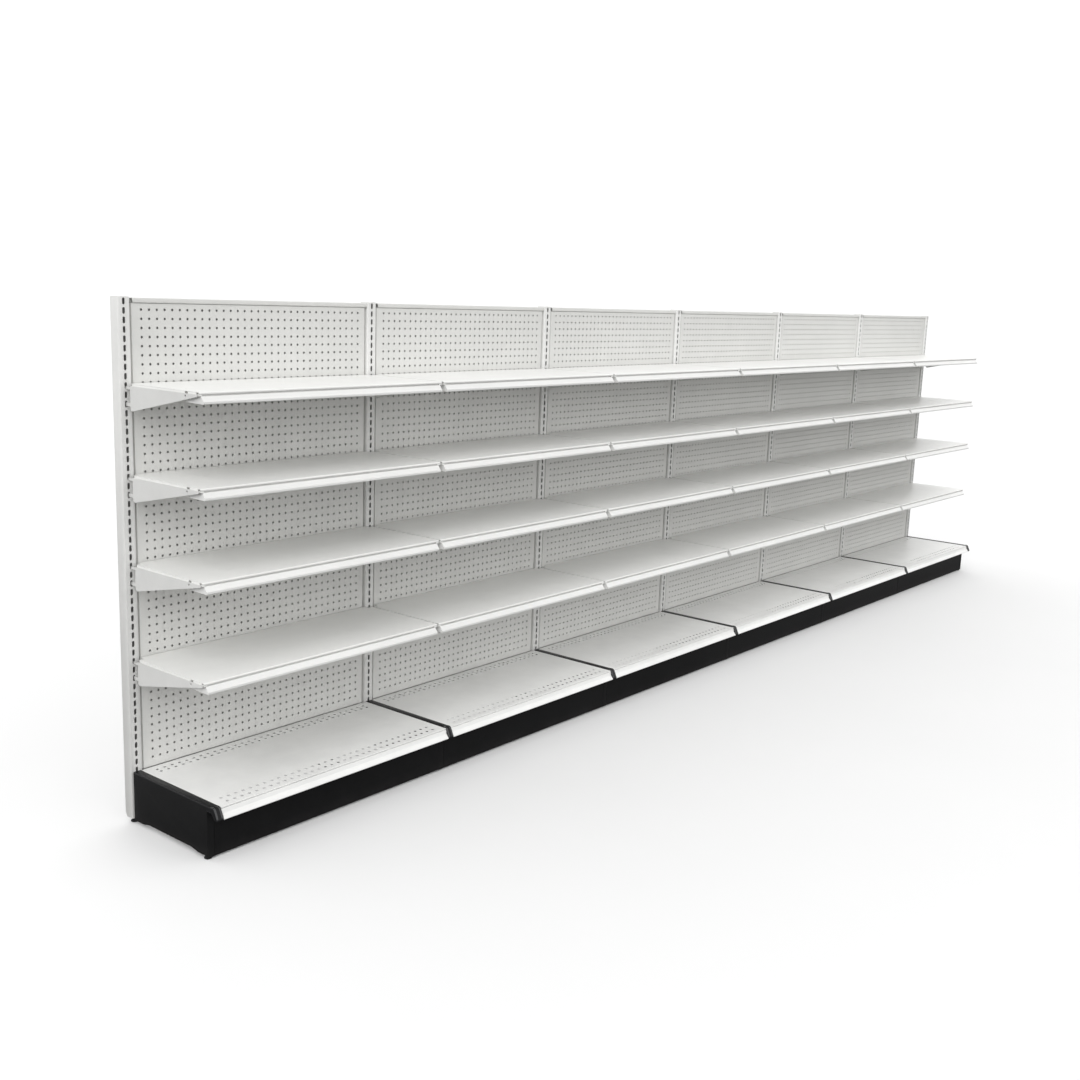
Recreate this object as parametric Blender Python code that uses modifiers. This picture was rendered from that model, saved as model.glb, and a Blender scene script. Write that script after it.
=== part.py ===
"""Wall gondola shelving: six 3 ft sections, slotted uprights, perforated backs, hook-on shelves."""

import math

import bmesh
import bpy
from mathutils import Matrix, Vector

# Driving dimensions, in metres. X runs along the gondola, the shopper stands at -Y, the floor is Z = 0.
SECTIONS = 6
SECTION_PITCH = 0.9144
HEIGHT = 1.524
DEPTH = 0.435
GAP = 0.0003

UPRIGHT_WIDTH = 0.038
UPRIGHT_DEPTH = 0.038
UPRIGHT_WALL = 0.0018
UPRIGHT_CORNER = 0.004
UPRIGHT_BOTTOM = 0.018
SLOT_PITCH = 0.0254
SLOT_COUNT = 58
SLOT_WIDTH = 0.0066
SLOT_HEIGHT = 0.0185
FIRST_SLOT_DROP = 0.0127

PANEL_SETBACK = 0.005
PANEL_THICKNESS = 0.0012
PANEL_BOTTOM = 0.150
PANEL_TOP = 1.521
PANEL_FLANGE = 0.014
PANEL_SIDE_GAP = 0.0006
TOP_RAIL_HEIGHT = 0.014
TOP_RAIL_PROUD = 0.003

SHELF_SLOTS = (9, 19, 29, 40)
SHELF_TOP_ABOVE_SLOT = 0.00635
SHELF_FRONT = 0.342
SHELF_SHEET = 0.002
SHELF_EDGE = 0.0025
SHELF_REAR_GAP = 0.003
SHELF_FLANGE = 0.016
CORNER_NOTCH = 0.0225
CHANNEL_INSET = 0.0065
CHANNEL_HEIGHT = 0.032
CHANNEL_DEPTH = 0.010
CHANNEL_LIP = 0.010
HINGE_DROP = 0.008

BRACKET_SHEET = 0.0022
BRACKET_INSET = 0.0004
BRACKET_HEIGHT = 0.076
BRACKET_TOE = 0.081
BRACKET_TOE_HEIGHT = 0.030
BRACKET_SETBACK = 0.012
BRACKET_NOSE = 0.006
HOOK_HEIGHT = 0.0075
HOOK_REACH = 0.006
HOOK_LIP = 0.007
HOOK_LIP_ROOM = 0.0036
TAB_REACH = 0.002
TAB_LOW = 0.004
TAB_HIGH = 0.014

DECK_TOP = 0.160
DECK_SHEET = 0.002
DECK_EDGE = 0.0078
DECK_LIP_TOP = 0.3886
DECK_LIP_DROP = 0.033
DECK_REAR_GAP = 0.004
DECK_NOTCH_GAP = 0.003
DECK_LIP_EDGE = 0.004
DECK_LIP_RETURN = 0.012
DECK_LIP_SHEET = 0.003
DECK_SKIRT = 0.024
DECK_RIB_GAP = 0.004
DECK_RIB_FRONT = 0.360
DECK_RIB_REAR = 0.030

BASE_WIDTH = 0.025
BASE_WALL = 0.002
BASE_BOTTOM = 0.012
BASE_FRONT = 0.357
BASE_HOOK_SLOTS = (54, 57)
TRIM_HALF_WIDTH = 0.0074
TRIM_PROUD = 0.0015
BASE_SPINE = 0.0044
BASE_TAB_HEIGHT = 0.012
BASE_TAB_REACH = 0.004
BASE_TAB_ROOT = 0.020
FOOT_PLATE = 0.028
FOOT_RADIUS = 0.011
FOOT_HEIGHT = 0.010
LEVELLER_STEM_RADIUS = 0.005

KICK_TOP = 0.124
KICK_BOTTOM = 0.006
KICK_SHEET = 0.0015
KICK_RETURN = 0.012
KICK_SIDE_GAP = 0.0004

# Places that follow from the dimensions above.
REAR_Y = DEPTH / 2
UPRIGHT_FACE_Y = REAR_Y - UPRIGHT_DEPTH
PANEL_FACE_Y = UPRIGHT_FACE_Y + PANEL_SETBACK
FRONT_Y = -DEPTH / 2
FIRST_SLOT_Z = HEIGHT - FIRST_SLOT_DROP

COLLECTION = "wall_gondola"
CUTTERS = "cutters"


def clear_scene():
    for obj in list(bpy.data.objects):
        bpy.data.objects.remove(obj, do_unlink=True)


def new_collection(name):
    collection = bpy.data.collections.new(name)
    bpy.context.scene.collection.children.link(collection)
    return collection


def new_material(name, colour, roughness, metallic):
    material = bpy.data.materials.new(name)
    material.use_nodes = True
    shader = material.node_tree.nodes["Principled BSDF"]
    shader.inputs["Base Color"].default_value = (*colour, 1.0)
    shader.inputs["Roughness"].default_value = roughness
    shader.inputs["Metallic"].default_value = metallic
    return material


def add_object(name, mesh, collection):
    obj = bpy.data.objects.new(name, mesh)
    collection.objects.link(obj)
    return obj


def add_cutter(name, mesh):
    cutter = add_object(name, mesh, bpy.data.collections[CUTTERS])
    cutter.hide_render = True
    cutter.display_type = "WIRE"
    return cutter


def box(name, low, high):
    """A box between two corners, as a cutter or a piece to be joined."""
    mesh = bpy.data.meshes.new(name)
    shape = bmesh.new()
    bmesh.ops.create_cube(shape, size=1.0)
    size = Vector(high) - Vector(low)
    centre = (Vector(high) + Vector(low)) / 2
    bmesh.ops.transform(
        shape, matrix=Matrix.Translation(centre) @ Matrix.Diagonal((*size, 1.0)), verts=shape.verts
    )
    shape.to_mesh(mesh)
    shape.free()
    return add_cutter(name, mesh)


def cylinder(name, radius, low_z, high_z, centre=(0.0, 0.0), sides=16):
    mesh = bpy.data.meshes.new(name)
    shape = bmesh.new()
    bmesh.ops.create_cone(
        shape, cap_ends=True, segments=sides, radius1=radius, radius2=radius, depth=high_z - low_z
    )
    place = Matrix.Translation((centre[0], centre[1], (low_z + high_z) / 2))
    bmesh.ops.transform(shape, matrix=place, verts=shape.verts)
    shape.to_mesh(mesh)
    shape.free()
    return add_cutter(name, mesh)


def outline(name, points, thickness, placing):
    """A flat outline given its thickness and turned by placing."""
    curve = bpy.data.curves.new(name, "CURVE")
    curve.dimensions = "2D"
    curve.fill_mode = "BOTH"
    curve.extrude = thickness / 2
    spline = curve.splines.new("POLY")
    spline.points.add(len(points) - 1)
    for spot, (across, up) in zip(spline.points, points):
        spot.co = (across, up, 0.0, 1.0)
    spline.use_cyclic_u = True
    guide = add_cutter(name + "_curve", curve)
    bpy.context.view_layer.update()
    evaluated = guide.evaluated_get(bpy.context.evaluated_depsgraph_get())
    mesh = bpy.data.meshes.new_from_object(evaluated)
    bpy.data.objects.remove(guide, do_unlink=True)
    bpy.data.curves.remove(curve)
    shape = bmesh.new()
    shape.from_mesh(mesh)
    bmesh.ops.remove_doubles(shape, verts=shape.verts, dist=1e-6)
    bmesh.ops.transform(shape, matrix=placing, verts=shape.verts)
    bmesh.ops.recalc_face_normals(shape, faces=shape.faces)
    shape.to_mesh(mesh)
    shape.free()
    return add_cutter(name, mesh)


def side_view(x):
    """Turns an outline drawn in (depth, height) to stand across X at this x."""
    turn = Matrix(((0, 0, 1, 0), (1, 0, 0, 0), (0, 1, 0, 0), (0, 0, 0, 1)))
    return Matrix.Translation((x, 0, 0)) @ turn


def boolean(obj, other, operation):
    step = obj.modifiers.new(operation.lower(), "BOOLEAN")
    step.operation = operation
    step.solver = "EXACT"
    step.object = other


def finished_mesh(name, obj, others):
    """The object's mesh with its modifiers applied. The pieces that went into it are removed."""
    bpy.context.view_layer.update()
    evaluated = obj.evaluated_get(bpy.context.evaluated_depsgraph_get())
    mesh = bpy.data.meshes.new_from_object(evaluated)
    mesh.name = name
    for spent in (obj, *others):
        bpy.data.objects.remove(spent, do_unlink=True)
    return mesh


def smoothed(mesh):
    """Round walls shaded smooth, with the edges sharper than 40 degrees kept."""
    mesh.shade_smooth()
    mesh.set_sharp_from_angle(angle=math.radians(40))
    return mesh


def joined(name, first, *others):
    for other in others:
        boolean(first, other, "UNION")
    return finished_mesh(name, first, others)


def upright_x(index):
    """Centre line of an upright, counted from 1 at the left end."""
    return (index - 1 - SECTIONS / 2) * SECTION_PITCH


def section_x(index):
    return (upright_x(index) + upright_x(index + 1)) / 2


def rounded_square(half_x, half_y, radius, steps):
    points = []
    for corner, (sx, sy) in enumerate(((1, 1), (-1, 1), (-1, -1), (1, -1))):
        for step in range(steps + 1):
            angle = math.radians(90) * (corner + step / steps)
            points.append(
                (
                    sx * (half_x - radius) + radius * math.cos(angle),
                    sy * (half_y - radius) + radius * math.sin(angle),
                )
            )
    return points


def upright_mesh():
    """A square tube with a row of hook slots down its front wall, closed by a plate at each end."""
    half_x = UPRIGHT_WIDTH / 2
    half_y = UPRIGHT_DEPTH / 2
    length = HEIGHT - UPRIGHT_BOTTOM
    section = rounded_square(half_x, half_y, UPRIGHT_CORNER, 3)
    body = outline("tube", section, length, Matrix.Translation((0, 0, UPRIGHT_BOTTOM + length / 2)))
    bore = box(
        "bore",
        (-half_x + UPRIGHT_WALL, -half_y + UPRIGHT_WALL, UPRIGHT_BOTTOM + UPRIGHT_WALL),
        (half_x - UPRIGHT_WALL, half_y - UPRIGHT_WALL, HEIGHT - UPRIGHT_WALL),
    )
    lowest = FIRST_SLOT_Z - (SLOT_COUNT - 1) * SLOT_PITCH
    slots = box(
        "slots",
        (-SLOT_WIDTH / 2, -half_y - UPRIGHT_WALL, lowest - SLOT_HEIGHT / 2),
        (SLOT_WIDTH / 2, -half_y + 2 * UPRIGHT_WALL, lowest + SLOT_HEIGHT / 2),
    )
    row = slots.modifiers.new("row", "ARRAY")
    row.count = SLOT_COUNT
    row.use_relative_offset = False
    row.use_constant_offset = True
    row.constant_offset_displace = (0, 0, SLOT_PITCH)
    boolean(body, bore, "DIFFERENCE")
    boolean(body, slots, "DIFFERENCE")
    return smoothed(finished_mesh("upright", body, (bore, slots)))


def build_uprights(collection, material):
    plain = upright_mesh()
    plain.materials.append(material)
    footed_body = add_cutter("footed", plain.copy())
    foot = cylinder("foot", FOOT_RADIUS, 0.0, UPRIGHT_BOTTOM + UPRIGHT_WALL / 2)
    footed = smoothed(joined("upright_with_foot", footed_body, foot))
    for index in range(1, SECTIONS + 2):
        at_end = index in (1, SECTIONS + 1)
        upright = add_object(f"upright_{index}", plain if at_end else footed, collection)
        upright.location = (upright_x(index), UPRIGHT_FACE_Y + UPRIGHT_DEPTH / 2, 0.0)


def base_bracket_mesh(name, outer_side):
    """An inverted black channel that carries two decks, with the trim strip that covers their joint.

    outer_side is -1 or 1 on an end bracket, whose trim widens to the outside, and 0 elsewhere."""
    half = BASE_WIDTH / 2
    top = DECK_TOP - DECK_SHEET - GAP
    rear = PANEL_FACE_Y - PANEL_SETBACK - GAP
    front = PANEL_FACE_Y - BASE_FRONT
    shell = box("base", (-half, front, BASE_BOTTOM), (half, rear, top))
    hollow = box(
        "base_hollow",
        (-half + BASE_WALL, front + BASE_WALL, BASE_BOTTOM - BASE_WALL),
        (half - BASE_WALL, rear + BASE_WALL, top - BASE_WALL),
    )
    boolean(shell, hollow, "DIFFERENCE")
    boxed = finished_mesh("base_channel", shell, (hollow,))
    channel = add_cutter("base_channel", boxed)

    lip_top = PANEL_FACE_Y - DECK_LIP_TOP
    cap_top = DECK_TOP + TRIM_PROUD
    lip_low = DECK_TOP - DECK_LIP_DROP
    thick = DECK_SHEET + GAP + TRIM_PROUD
    trim_points = [
        (rear, top - BASE_WALL / 2),
        (rear, cap_top),
        (lip_top, cap_top),
        (FRONT_Y, lip_low + DECK_LIP_EDGE),
        (FRONT_Y, lip_low),
        (FRONT_Y + thick, lip_low),
        (lip_top + thick, top - BASE_WALL / 2),
    ]
    low_x = -TRIM_HALF_WIDTH
    high_x = TRIM_HALF_WIDTH
    if outer_side < 0:
        low_x = -half
    if outer_side > 0:
        high_x = half
    trim = outline("trim", trim_points, high_x - low_x, side_view((low_x + high_x) / 2))

    side = BASE_SPINE / 2
    root = rear - BASE_TAB_ROOT
    spine = box("base_spine", (-side, root, BASE_BOTTOM), (side, rear, top - BASE_WALL / 2))
    foot_plate = box(
        "foot_plate",
        (-half + BASE_WALL / 2, front + BASE_WALL / 2, UPRIGHT_BOTTOM),
        (half - BASE_WALL / 2, front + FOOT_PLATE, UPRIGHT_BOTTOM + BASE_WALL),
    )
    parts = [trim, spine, foot_plate]
    for slot in BASE_HOOK_SLOTS:
        middle = FIRST_SLOT_Z - slot * SLOT_PITCH
        low = (-side, root, middle - BASE_TAB_HEIGHT / 2)
        high = (side, rear + UPRIGHT_WALL + BASE_TAB_REACH, middle + BASE_TAB_HEIGHT / 2)
        parts.append(box("base_tab", low, high))
    if outer_side == 0:
        under_plate = (0.0, front + FOOT_PLATE / 2)
        parts.append(cylinder("foot", FOOT_RADIUS, 0.0, UPRIGHT_BOTTOM + BASE_WALL / 2, under_plate))
    return smoothed(joined(name, channel, *parts))


def build_base_brackets(collection, material):
    for index in range(1, SECTIONS + 2):
        outer = -1 if index == 1 else 1 if index == SECTIONS + 1 else 0
        mesh = base_bracket_mesh(f"base_bracket_{index}", outer)
        mesh.materials.append(material)
        bracket = add_object(f"base_bracket_{index}", mesh, collection)
        bracket.location = (upright_x(index), 0.0, 0.0)


def build_levellers(collection, material):
    """A screw foot under each corner: a disc with a short stem that ends under its plate."""
    disc = cylinder("leveller", FOOT_RADIUS, 0.0, FOOT_HEIGHT)
    stem = cylinder("stem", LEVELLER_STEM_RADIUS, FOOT_HEIGHT / 2, UPRIGHT_BOTTOM - GAP, sides=12)
    mesh = smoothed(joined("leveller", disc, stem))
    mesh.materials.append(material)
    places = {
        "front": PANEL_FACE_Y - BASE_FRONT + FOOT_PLATE / 2,
        "rear": UPRIGHT_FACE_Y + UPRIGHT_DEPTH / 2,
    }
    for end, index in (("left", 1), ("right", SECTIONS + 1)):
        for place, y in places.items():
            leveller = add_object(f"leveller_{place}_{end}", mesh, collection)
            leveller.location = (upright_x(index), y, 0.0)


def build_panels(collection, material):
    """A steel tray for each section: a flat front, flanges all round the back, and a rolled top rail."""
    half = SECTION_PITCH / 2 - UPRIGHT_WIDTH / 2 - PANEL_SIDE_GAP
    body = box("panel", (-half, 0, PANEL_BOTTOM), (half, PANEL_FLANGE, PANEL_TOP))
    back = box(
        "panel_hollow",
        (-half + PANEL_THICKNESS, PANEL_THICKNESS, PANEL_BOTTOM + PANEL_THICKNESS),
        (half - PANEL_THICKNESS, 2 * PANEL_FLANGE, PANEL_TOP - PANEL_THICKNESS),
    )
    boolean(body, back, "DIFFERENCE")
    tray = add_cutter("tray", finished_mesh("tray", body, (back,)))
    rail_low = (-half, -TOP_RAIL_PROUD, PANEL_TOP - TOP_RAIL_HEIGHT)
    rail_high = (half, PANEL_THICKNESS / 2, PANEL_TOP - PANEL_THICKNESS / 2)
    mesh = joined("back_panel", tray, box("top_rail", rail_low, rail_high))
    mesh.materials.append(material)
    for index in range(1, SECTIONS + 1):
        panel = add_object(f"back_panel_{index}", mesh, collection)
        panel.location = (section_x(index), PANEL_FACE_Y, 0.0)


def hinge_y():
    """Shelves pivot in the middle of the upright's front wall, where their hooks bear."""
    return UPRIGHT_FACE_Y + UPRIGHT_WALL / 2


def shelf_bracket_points():
    """The end bracket from the side, about the hinge: a hook and a tab at the back, a taper to the front."""
    face = UPRIGHT_FACE_Y - hinge_y()
    rear = face - BRACKET_SETBACK
    inner = face + UPRIGHT_WALL
    top = HINGE_DROP - SHELF_SHEET / 2
    slot_low = HINGE_DROP - SHELF_TOP_ABOVE_SLOT - SLOT_HEIGHT / 2
    tab_slot_low = slot_low - 2 * SLOT_PITCH
    nose = PANEL_FACE_Y - SHELF_FRONT - hinge_y() + BRACKET_NOSE
    return [
        (rear, top),
        (rear, slot_low + HOOK_HEIGHT),
        (inner + HOOK_REACH, slot_low + HOOK_HEIGHT),
        (inner + HOOK_REACH, slot_low - HOOK_LIP),
        (inner + HOOK_LIP_ROOM, slot_low - HOOK_LIP),
        (inner + TAB_REACH, slot_low + GAP),
        (rear, slot_low + GAP),
        (rear, tab_slot_low + TAB_HIGH),
        (inner + TAB_REACH, tab_slot_low + TAB_HIGH),
        (inner + TAB_REACH, tab_slot_low + TAB_LOW),
        (rear, tab_slot_low + TAB_LOW),
        (rear, HINGE_DROP - BRACKET_HEIGHT),
        (nose + BRACKET_TOE, HINGE_DROP - BRACKET_TOE_HEIGHT),
        (nose, HINGE_DROP - BRACKET_TOE_HEIGHT),
        (nose, top),
    ]


def shelf_channel_points(front):
    """The price channel from the side: it slopes out a little to an upright lip at its foot."""
    top = HINGE_DROP - SHELF_SHEET / 2
    low = HINGE_DROP - CHANNEL_HEIGHT
    return [
        (front + CHANNEL_DEPTH, top),
        (front + CHANNEL_DEPTH / 2, top),
        (front + CHANNEL_DEPTH / 3, low + 1.4 * CHANNEL_LIP),
        (front, low + CHANNEL_LIP),
        (front, low),
        (front + CHANNEL_DEPTH, low),
    ]


def notched_sheet(edge, corner, rear, notched, front):
    """A sheet from above, cut back at its two rear corners to go round the uprights."""
    return [
        (-edge, notched),
        (-corner, notched),
        (-corner, rear),
        (corner, rear),
        (corner, notched),
        (edge, notched),
        (edge, front),
        (-edge, front),
    ]


def shelf_mesh():
    """A folded pan with its price channel, and an end bracket joined under each side.

    The mesh is drawn about the hinge line: the hook edges at the front wall of the uprights."""
    half = SECTION_PITCH / 2
    rear = PANEL_FACE_Y - SHELF_REAR_GAP - hinge_y()
    notched = UPRIGHT_FACE_Y - BRACKET_SETBACK - hinge_y()
    front = PANEL_FACE_Y - SHELF_FRONT - hinge_y()
    edge = half - SHELF_EDGE
    corner = half - CORNER_NOTCH
    pan_points = notched_sheet(edge, corner, rear, notched, front + CHANNEL_DEPTH / 2)
    pan_place = Matrix.Translation((0, 0, HINGE_DROP - SHELF_SHEET / 2))
    pan = outline("pan", pan_points, SHELF_SHEET, pan_place)
    length = SECTION_PITCH - 2 * CHANNEL_INSET
    channel = outline("channel", shelf_channel_points(front), length, side_view(0.0))
    flange = box(
        "rear_flange",
        (-corner, rear - SHELF_SHEET, HINGE_DROP - SHELF_FLANGE),
        (corner, rear, HINGE_DROP - SHELF_SHEET / 2),
    )
    plate_x = half - BRACKET_INSET - BRACKET_SHEET / 2
    left = outline("left_bracket", shelf_bracket_points(), BRACKET_SHEET, side_view(-plate_x))
    right = outline("right_bracket", shelf_bracket_points(), BRACKET_SHEET, side_view(plate_x))
    return joined("shelf", pan, channel, flange, left, right)


def build_shelves(collection, material):
    mesh = shelf_mesh()
    mesh.materials.append(material)
    for section in range(1, SECTIONS + 1):
        for level, slot in enumerate(SHELF_SLOTS, start=1):
            top = FIRST_SLOT_Z - slot * SLOT_PITCH + SHELF_TOP_ABOVE_SLOT
            shelf = add_object(f"shelf_{section}_{level}", mesh, collection)
            shelf.location = (section_x(section), hinge_y(), top - HINGE_DROP)


def deck_mesh():
    """The deep bottom shelf, drawn about its top rear edge: a flat top, a sloping lip and three skirts."""
    half = SECTION_PITCH / 2
    edge = half - DECK_EDGE
    corner = half - CORNER_NOTCH
    rear = PANEL_FACE_Y - DECK_REAR_GAP
    notched = UPRIGHT_FACE_Y - DECK_NOTCH_GAP - rear
    lip_top = DECK_REAR_GAP - DECK_LIP_TOP
    lip_low = FRONT_Y - rear
    sheet_points = notched_sheet(edge, corner, 0.0, notched, lip_top + DECK_SHEET / 2)
    sheet = outline("deck_sheet", sheet_points, DECK_SHEET, Matrix.Translation((0, 0, -DECK_SHEET / 2)))
    lip_points = [
        (lip_top + DECK_LIP_EDGE, 0.0),
        (lip_top, 0.0),
        (lip_low, -DECK_LIP_DROP + DECK_LIP_EDGE),
        (lip_low, -DECK_LIP_DROP),
        (lip_low + DECK_LIP_RETURN, -DECK_LIP_DROP),
        (lip_low + DECK_LIP_RETURN, -DECK_LIP_DROP + DECK_SHEET),
        (lip_low + DECK_LIP_SHEET, -DECK_LIP_DROP + DECK_SHEET),
        (lip_top + DECK_LIP_EDGE, -DECK_LIP_SHEET),
    ]
    lip = outline("deck_lip", lip_points, 2 * edge, side_view(0.0))
    rib = half - BASE_WIDTH / 2 - DECK_RIB_GAP
    under = -DECK_SHEET / 2
    parts = [box("rear_skirt", (-corner, -DECK_SHEET, -DECK_SKIRT), (corner, 0.0, under))]
    for inner, outer in ((-rib + DECK_SHEET, -rib), (rib - DECK_SHEET, rib)):
        low = (min(inner, outer), -DECK_RIB_FRONT, -DECK_SKIRT)
        high = (max(inner, outer), -DECK_RIB_REAR, under)
        parts.append(box("deck_rib", low, high))
    return joined("base_deck", sheet, lip, *parts)


def build_decks(collection, material):
    mesh = deck_mesh()
    mesh.materials.append(material)
    for index in range(1, SECTIONS + 1):
        deck = add_object(f"base_deck_{index}", mesh, collection)
        deck.location = (section_x(index), PANEL_FACE_Y - DECK_REAR_GAP, DECK_TOP)


def build_kickplates(collection, material):
    """A black closing plate between two base brackets, with a return along its top and its foot."""
    half = SECTION_PITCH / 2 - BASE_WIDTH / 2 - KICK_SIDE_GAP
    points = [
        (0.0, KICK_BOTTOM),
        (KICK_RETURN, KICK_BOTTOM),
        (KICK_RETURN, KICK_BOTTOM + KICK_SHEET),
        (KICK_SHEET, KICK_BOTTOM + KICK_SHEET),
        (KICK_SHEET, KICK_TOP - KICK_SHEET),
        (KICK_RETURN, KICK_TOP - KICK_SHEET),
        (KICK_RETURN, KICK_TOP),
        (0.0, KICK_TOP),
    ]
    plate = outline("kickplate", points, 2 * half, side_view(0.0))
    mesh = finished_mesh("kickplate", plate, ())
    mesh.materials.append(material)
    for index in range(1, SECTIONS + 1):
        kickplate = add_object(f"kickplate_{index}", mesh, collection)
        kickplate.location = (section_x(index), PANEL_FACE_Y - BASE_FRONT, 0.0)


def main():
    clear_scene()
    collection = new_collection(COLLECTION)
    cutters = new_collection(CUTTERS)
    white = new_material("white_powder_coat", (0.80, 0.80, 0.77), 0.42, 0.0)
    panel_white = new_material("panel_powder_coat", (0.78, 0.78, 0.75), 0.48, 0.0)
    shelf_white = new_material("shelf_powder_coat", (0.82, 0.82, 0.79), 0.40, 0.0)
    deck_white = new_material("deck_powder_coat", (0.80, 0.80, 0.78), 0.40, 0.0)
    black = new_material("black_powder_coat", (0.012, 0.012, 0.011), 0.45, 0.0)
    kick_black = new_material("kickplate_black", (0.010, 0.010, 0.010), 0.40, 0.0)
    foot_black = new_material("foot_nylon", (0.02, 0.02, 0.02), 0.55, 0.0)
    build_uprights(collection, white)
    build_base_brackets(collection, black)
    build_levellers(collection, foot_black)
    build_panels(collection, panel_white)
    build_shelves(collection, shelf_white)
    build_decks(collection, deck_white)
    build_kickplates(collection, kick_black)
    cutters.hide_render = True


main()
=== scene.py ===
import math

import bmesh
import bpy
from mathutils import Matrix, Vector


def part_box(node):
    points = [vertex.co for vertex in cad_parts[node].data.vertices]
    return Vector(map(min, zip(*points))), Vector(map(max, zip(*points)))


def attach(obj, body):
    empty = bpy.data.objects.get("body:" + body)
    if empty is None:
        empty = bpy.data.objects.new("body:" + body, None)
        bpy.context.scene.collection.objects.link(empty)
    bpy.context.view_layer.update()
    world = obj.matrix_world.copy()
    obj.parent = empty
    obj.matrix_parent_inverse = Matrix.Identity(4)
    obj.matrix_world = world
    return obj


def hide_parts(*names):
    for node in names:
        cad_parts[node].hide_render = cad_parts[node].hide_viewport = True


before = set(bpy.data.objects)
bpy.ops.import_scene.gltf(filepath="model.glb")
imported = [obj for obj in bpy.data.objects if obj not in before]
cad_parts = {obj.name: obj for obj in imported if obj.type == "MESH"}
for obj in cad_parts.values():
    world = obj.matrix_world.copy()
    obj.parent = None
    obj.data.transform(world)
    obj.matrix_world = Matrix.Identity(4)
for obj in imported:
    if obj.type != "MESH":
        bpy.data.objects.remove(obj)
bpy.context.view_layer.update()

# Uprights. Seven square steel tubes, one on each joint of the run, powder-coated white. A row of
# hook slots is punched down the front wall. The top closes with a cap rounded at the back, and
# the foot is cut back at the rear.
UPRIGHT_WALL = 0.0018
UPRIGHT_CORNER = 0.004
TOP_REAR_ROUND = 0.008
FOOT_CUT_DEEP = 0.011
FOOT_CUT_TALL = 0.018
UPRIGHT_EASE = 0.0006
SLOT_PITCH = 0.0254
SLOT_COUNT = 58
SLOT_WIDTH = 0.0082
SLOT_HEIGHT = 0.0185
FIRST_SLOT_DROP = 0.0127
ROUND_END = 0.49
CUT_PAST = 0.01
WARM_WHITE = (0.715, 0.715, 0.700)
FLOOR_DUST = (0.25, 0.25, (0.42, 0.41, 0.38))


class Shade:
    """A shader socket that takes part in Python sums, each of which adds a Math node."""

    def __init__(self, coat, socket):
        self.coat = coat
        self.socket = socket

    def sum(self, operation, first, second):
        return self.coat.node("ShaderNodeMath", {"operation": operation}, {0: first, 1: second})

    def __add__(self, other):
        return self.sum("ADD", self, other)

    def __radd__(self, other):
        return self.sum("ADD", other, self)

    def __sub__(self, other):
        return self.sum("SUBTRACT", self, other)

    def __rsub__(self, other):
        return self.sum("SUBTRACT", other, self)

    def __mul__(self, other):
        return self.sum("MULTIPLY", self, other)

    def __rmul__(self, other):
        return self.sum("MULTIPLY", other, self)


class Coat:
    """A finish under construction: its material, its nodes and the shader they feed."""

    def __init__(self, name, **plain):
        self.material = bpy.data.materials.new(name)
        self.material.use_nodes = True
        self.tree = self.material.node_tree
        self.shader = self.tree.nodes["Principled BSDF"]
        for socket, value in plain.items():
            self.shader.inputs[socket.replace("_", " ")].default_value = value

    def node(self, kind, settings, values, output=0):
        made = self.tree.nodes.new(kind)
        for setting, value in settings.items():
            setattr(made, setting, value)
        for socket, value in values.items():
            if isinstance(value, Shade):
                self.tree.links.new(value.socket, made.inputs[socket])
            else:
                made.inputs[socket].default_value = value
        return Shade(self, made.outputs[output])

    def feed(self, socket, value):
        self.tree.links.new(value.socket, self.shader.inputs[socket])

    def place(self):
        return self.node("ShaderNodeTexCoord", {}, {}, "Object")

    def noise(self, place, scale, detail=2.0, roughness=0.5):
        values = {"Vector": place, "Scale": scale, "Detail": detail, "Roughness": roughness}
        return self.node("ShaderNodeTexNoise", {}, values, "Fac")

    def blend(self, factor, low, high, mode="MIX"):
        settings = {"data_type": "RGBA", "blend_type": mode, "clamp_factor": True}
        values = {"Factor": factor, 6: low, 7: high}
        return self.node("ShaderNodeMix", settings, values, 2)

    def between(self, value, low, high, to_low=0.0, to_high=1.0):
        settings = {"interpolation_type": "SMOOTHSTEP", "clamp": True}
        values = {"Value": value, 1: low, 2: high, 3: to_low, 4: to_high}
        return self.node("ShaderNodeMapRange", settings, values)


def powder_coat(
    name, colour, roughness, peel=0.35, mottle=0.03, speck=0.0, soil=None, sheen=0.0, gloss=0.45
):
    """Baked powder paint: an orange-peel skin, slow drifts of tone, dark flecks, and dust low down.

    soil is the strength, the height and the colour of the dust.
    """
    coat = Coat(name, Specular_IOR_Level=gloss, Coat_Weight=sheen, Coat_Roughness=0.18)
    place = coat.place()
    drift = coat.noise(place, 2.3, 3.0)
    cloud = coat.noise(place, 17.0, 4.0, 0.6)
    grain = coat.noise(place, 900.0, 1.0)
    skin = coat.noise(place, 260.0, 2.0)
    dark = tuple(part * (1 - 3 * mottle) for part in colour)
    tone = coat.between(0.6 * drift + 0.4 * cloud, 0.3, 0.7)
    paint = coat.blend(tone, (*dark, 1.0), (*colour, 1.0))
    if speck:
        flecks = coat.between(grain, 0.60, 0.78, 0.0, speck)
        paint = coat.blend(flecks, paint, (0.16, 0.16, 0.155, 1.0))
    if soil:
        amount, top, tint = soil
        height = coat.node("ShaderNodeSeparateXYZ", {}, {0: place}, 2)
        low = coat.between(height, 0.0, top, amount, 0.0)
        paint = coat.blend(low * coat.between(cloud, 0.3, 0.7, 0.4, 1.0), paint, (*tint, 1.0))
    coat.feed("Base Color", paint)
    coat.feed("Roughness", roughness - 0.05 + 0.06 * cloud + 0.04 * grain)
    height = 0.75 * skin + 0.25 * grain
    bump = {"Height": height, "Strength": peel, "Distance": 0.0006}
    coat.feed("Normal", coat.node("ShaderNodeBump", {}, bump))
    return coat.material


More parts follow.
